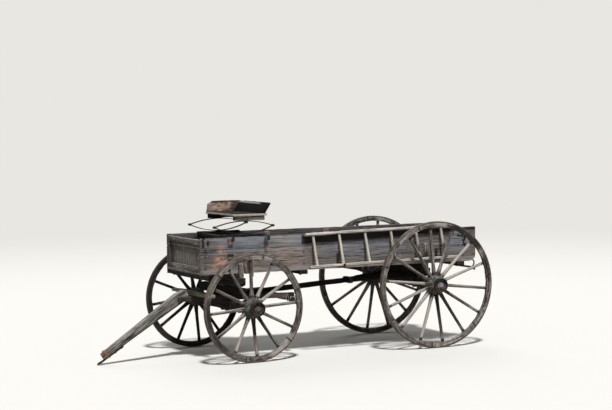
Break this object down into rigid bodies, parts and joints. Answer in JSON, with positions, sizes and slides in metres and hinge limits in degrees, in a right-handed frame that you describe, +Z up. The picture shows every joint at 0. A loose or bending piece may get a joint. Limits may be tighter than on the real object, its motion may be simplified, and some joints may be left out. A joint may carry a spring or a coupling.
{
  "type": "farm wagon",
  "caption": "Old farm wagon: open plank box on a wooden running gear with dished spoked wheels, spring seat, short drawbar tongue and a ladder hung on one side.",
  "frame": {"origin": "centre of the bounding box on the ground", "axes": "+X forward towards the tongue, +Y to the wagon's left, +Z up"},
  "size_m": [4.3078, 1.7316, 1.623],
  "materials": {
    "box_wood": "weathered",
    "gear_wood": "weathered",
    "wheel_wood": "weathered",
    "ladder_wood": "bleached",
    "seat_wood": "weathered",
    "iron": "rusted"
  },
  "bodies": {
    "box_and_reach": {"reach": "gear_wood", "rear_hounds": "gear_wood", "rear_skeins": "iron", "rear_axle": "gear_wood", "bolsters": "gear_wood", "reach_irons": "iron", "king_bolt": "iron", "stakes": "gear_wood", "floor_sills": "box_wood", "floor_boards": "box_wood", "left_side": "box_wood", "right_side": "box_wood", "side_cleats": "box_wood", "front_gate": "box_wood", "front_gate_battens": "box_wood", "end_rods": "iron", "side_loops": "iron", "seat_cross_bars": "seat_wood", "side_irons": "iron", "seat_springs_lower": "iron", "seat_springs_upper": "iron", "seat_rails": "seat_wood", "seat_board": "seat_wood", "seat_back": "seat_wood", "seat_end_panel": "seat_wood", "ladder_rails": "ladder_wood", "ladder_rungs": "ladder_wood", "ladder_hooks": "iron"},
    "front_left_wheel": {"front_left_hub": "wheel_wood", "front_left_spokes": "wheel_wood", "front_left_felloes": "wheel_wood", "front_left_irons": "iron"},
    "front_right_wheel": {"front_right_hub": "wheel_wood", "front_right_spokes": "wheel_wood", "front_right_felloes": "wheel_wood", "front_right_irons": "iron"},
    "rear_left_wheel": {"rear_left_hub": "wheel_wood", "rear_left_spokes": "wheel_wood", "rear_left_felloes": "wheel_wood", "rear_left_irons": "iron"},
    "rear_right_wheel": {"rear_right_hub": "wheel_wood", "rear_right_spokes": "wheel_wood", "rear_right_felloes": "wheel_wood", "rear_right_irons": "iron"},
    "front_carriage": {"front_skeins": "iron", "front_axle": "gear_wood", "front_hounds": "gear_wood", "hound_bars": "gear_wood", "sand_bolster": "gear_wood", "carriage_irons": "iron"},
    "tongue": {"tongue": "gear_wood", "tongue_iron": "iron"},
    "tail_gate": {"tail_gate": "box_wood", "tail_gate_battens": "box_wood"}
  },
  "joints": [
    {"name": "steer", "type": "hinge", "parent": "box_and_reach", "child": "front_carriage", "pos_m": [0.72812, 0, 0.627], "axis": [0, 0, 1], "range_deg": [-21.25, 14.75]},
    {"name": "tongue_lift", "type": "hinge", "parent": "front_carriage", "child": "tongue", "pos_m": [1.23231, 0.02863, 0.627], "axis": [0.0567, -0.9984, 0], "range_deg": [0, 70]},
    {"name": "tail_gate_lift", "type": "slide", "parent": "box_and_reach", "child": "tail_gate", "axis": [0, 0, 1], "range_m": [0, 0.42]},
    {"name": "front_left_roll", "type": "hinge", "parent": "front_carriage", "child": "front_left_wheel", "pos_m": [0.68589, 0.7438, 0.559], "axis": [-0.0567, 0.9984, 0], "continuous": true},
    {"name": "front_right_roll", "type": "hinge", "parent": "front_carriage", "child": "front_right_wheel", "pos_m": [0.77036, -0.7438, 0.559], "axis": [-0.0567, 0.9984, 0], "continuous": true},
    {"name": "rear_left_roll", "type": "hinge", "parent": "box_and_reach", "child": "rear_left_wheel", "pos_m": [-1.46788, 0.745, 0.686], "axis": [0, 1, 0], "continuous": true},
    {"name": "rear_right_roll", "type": "hinge", "parent": "box_and_reach", "child": "rear_right_wheel", "pos_m": [-1.46788, -0.745, 0.686], "axis": [0, 1, 0], "continuous": true}
  ]
}
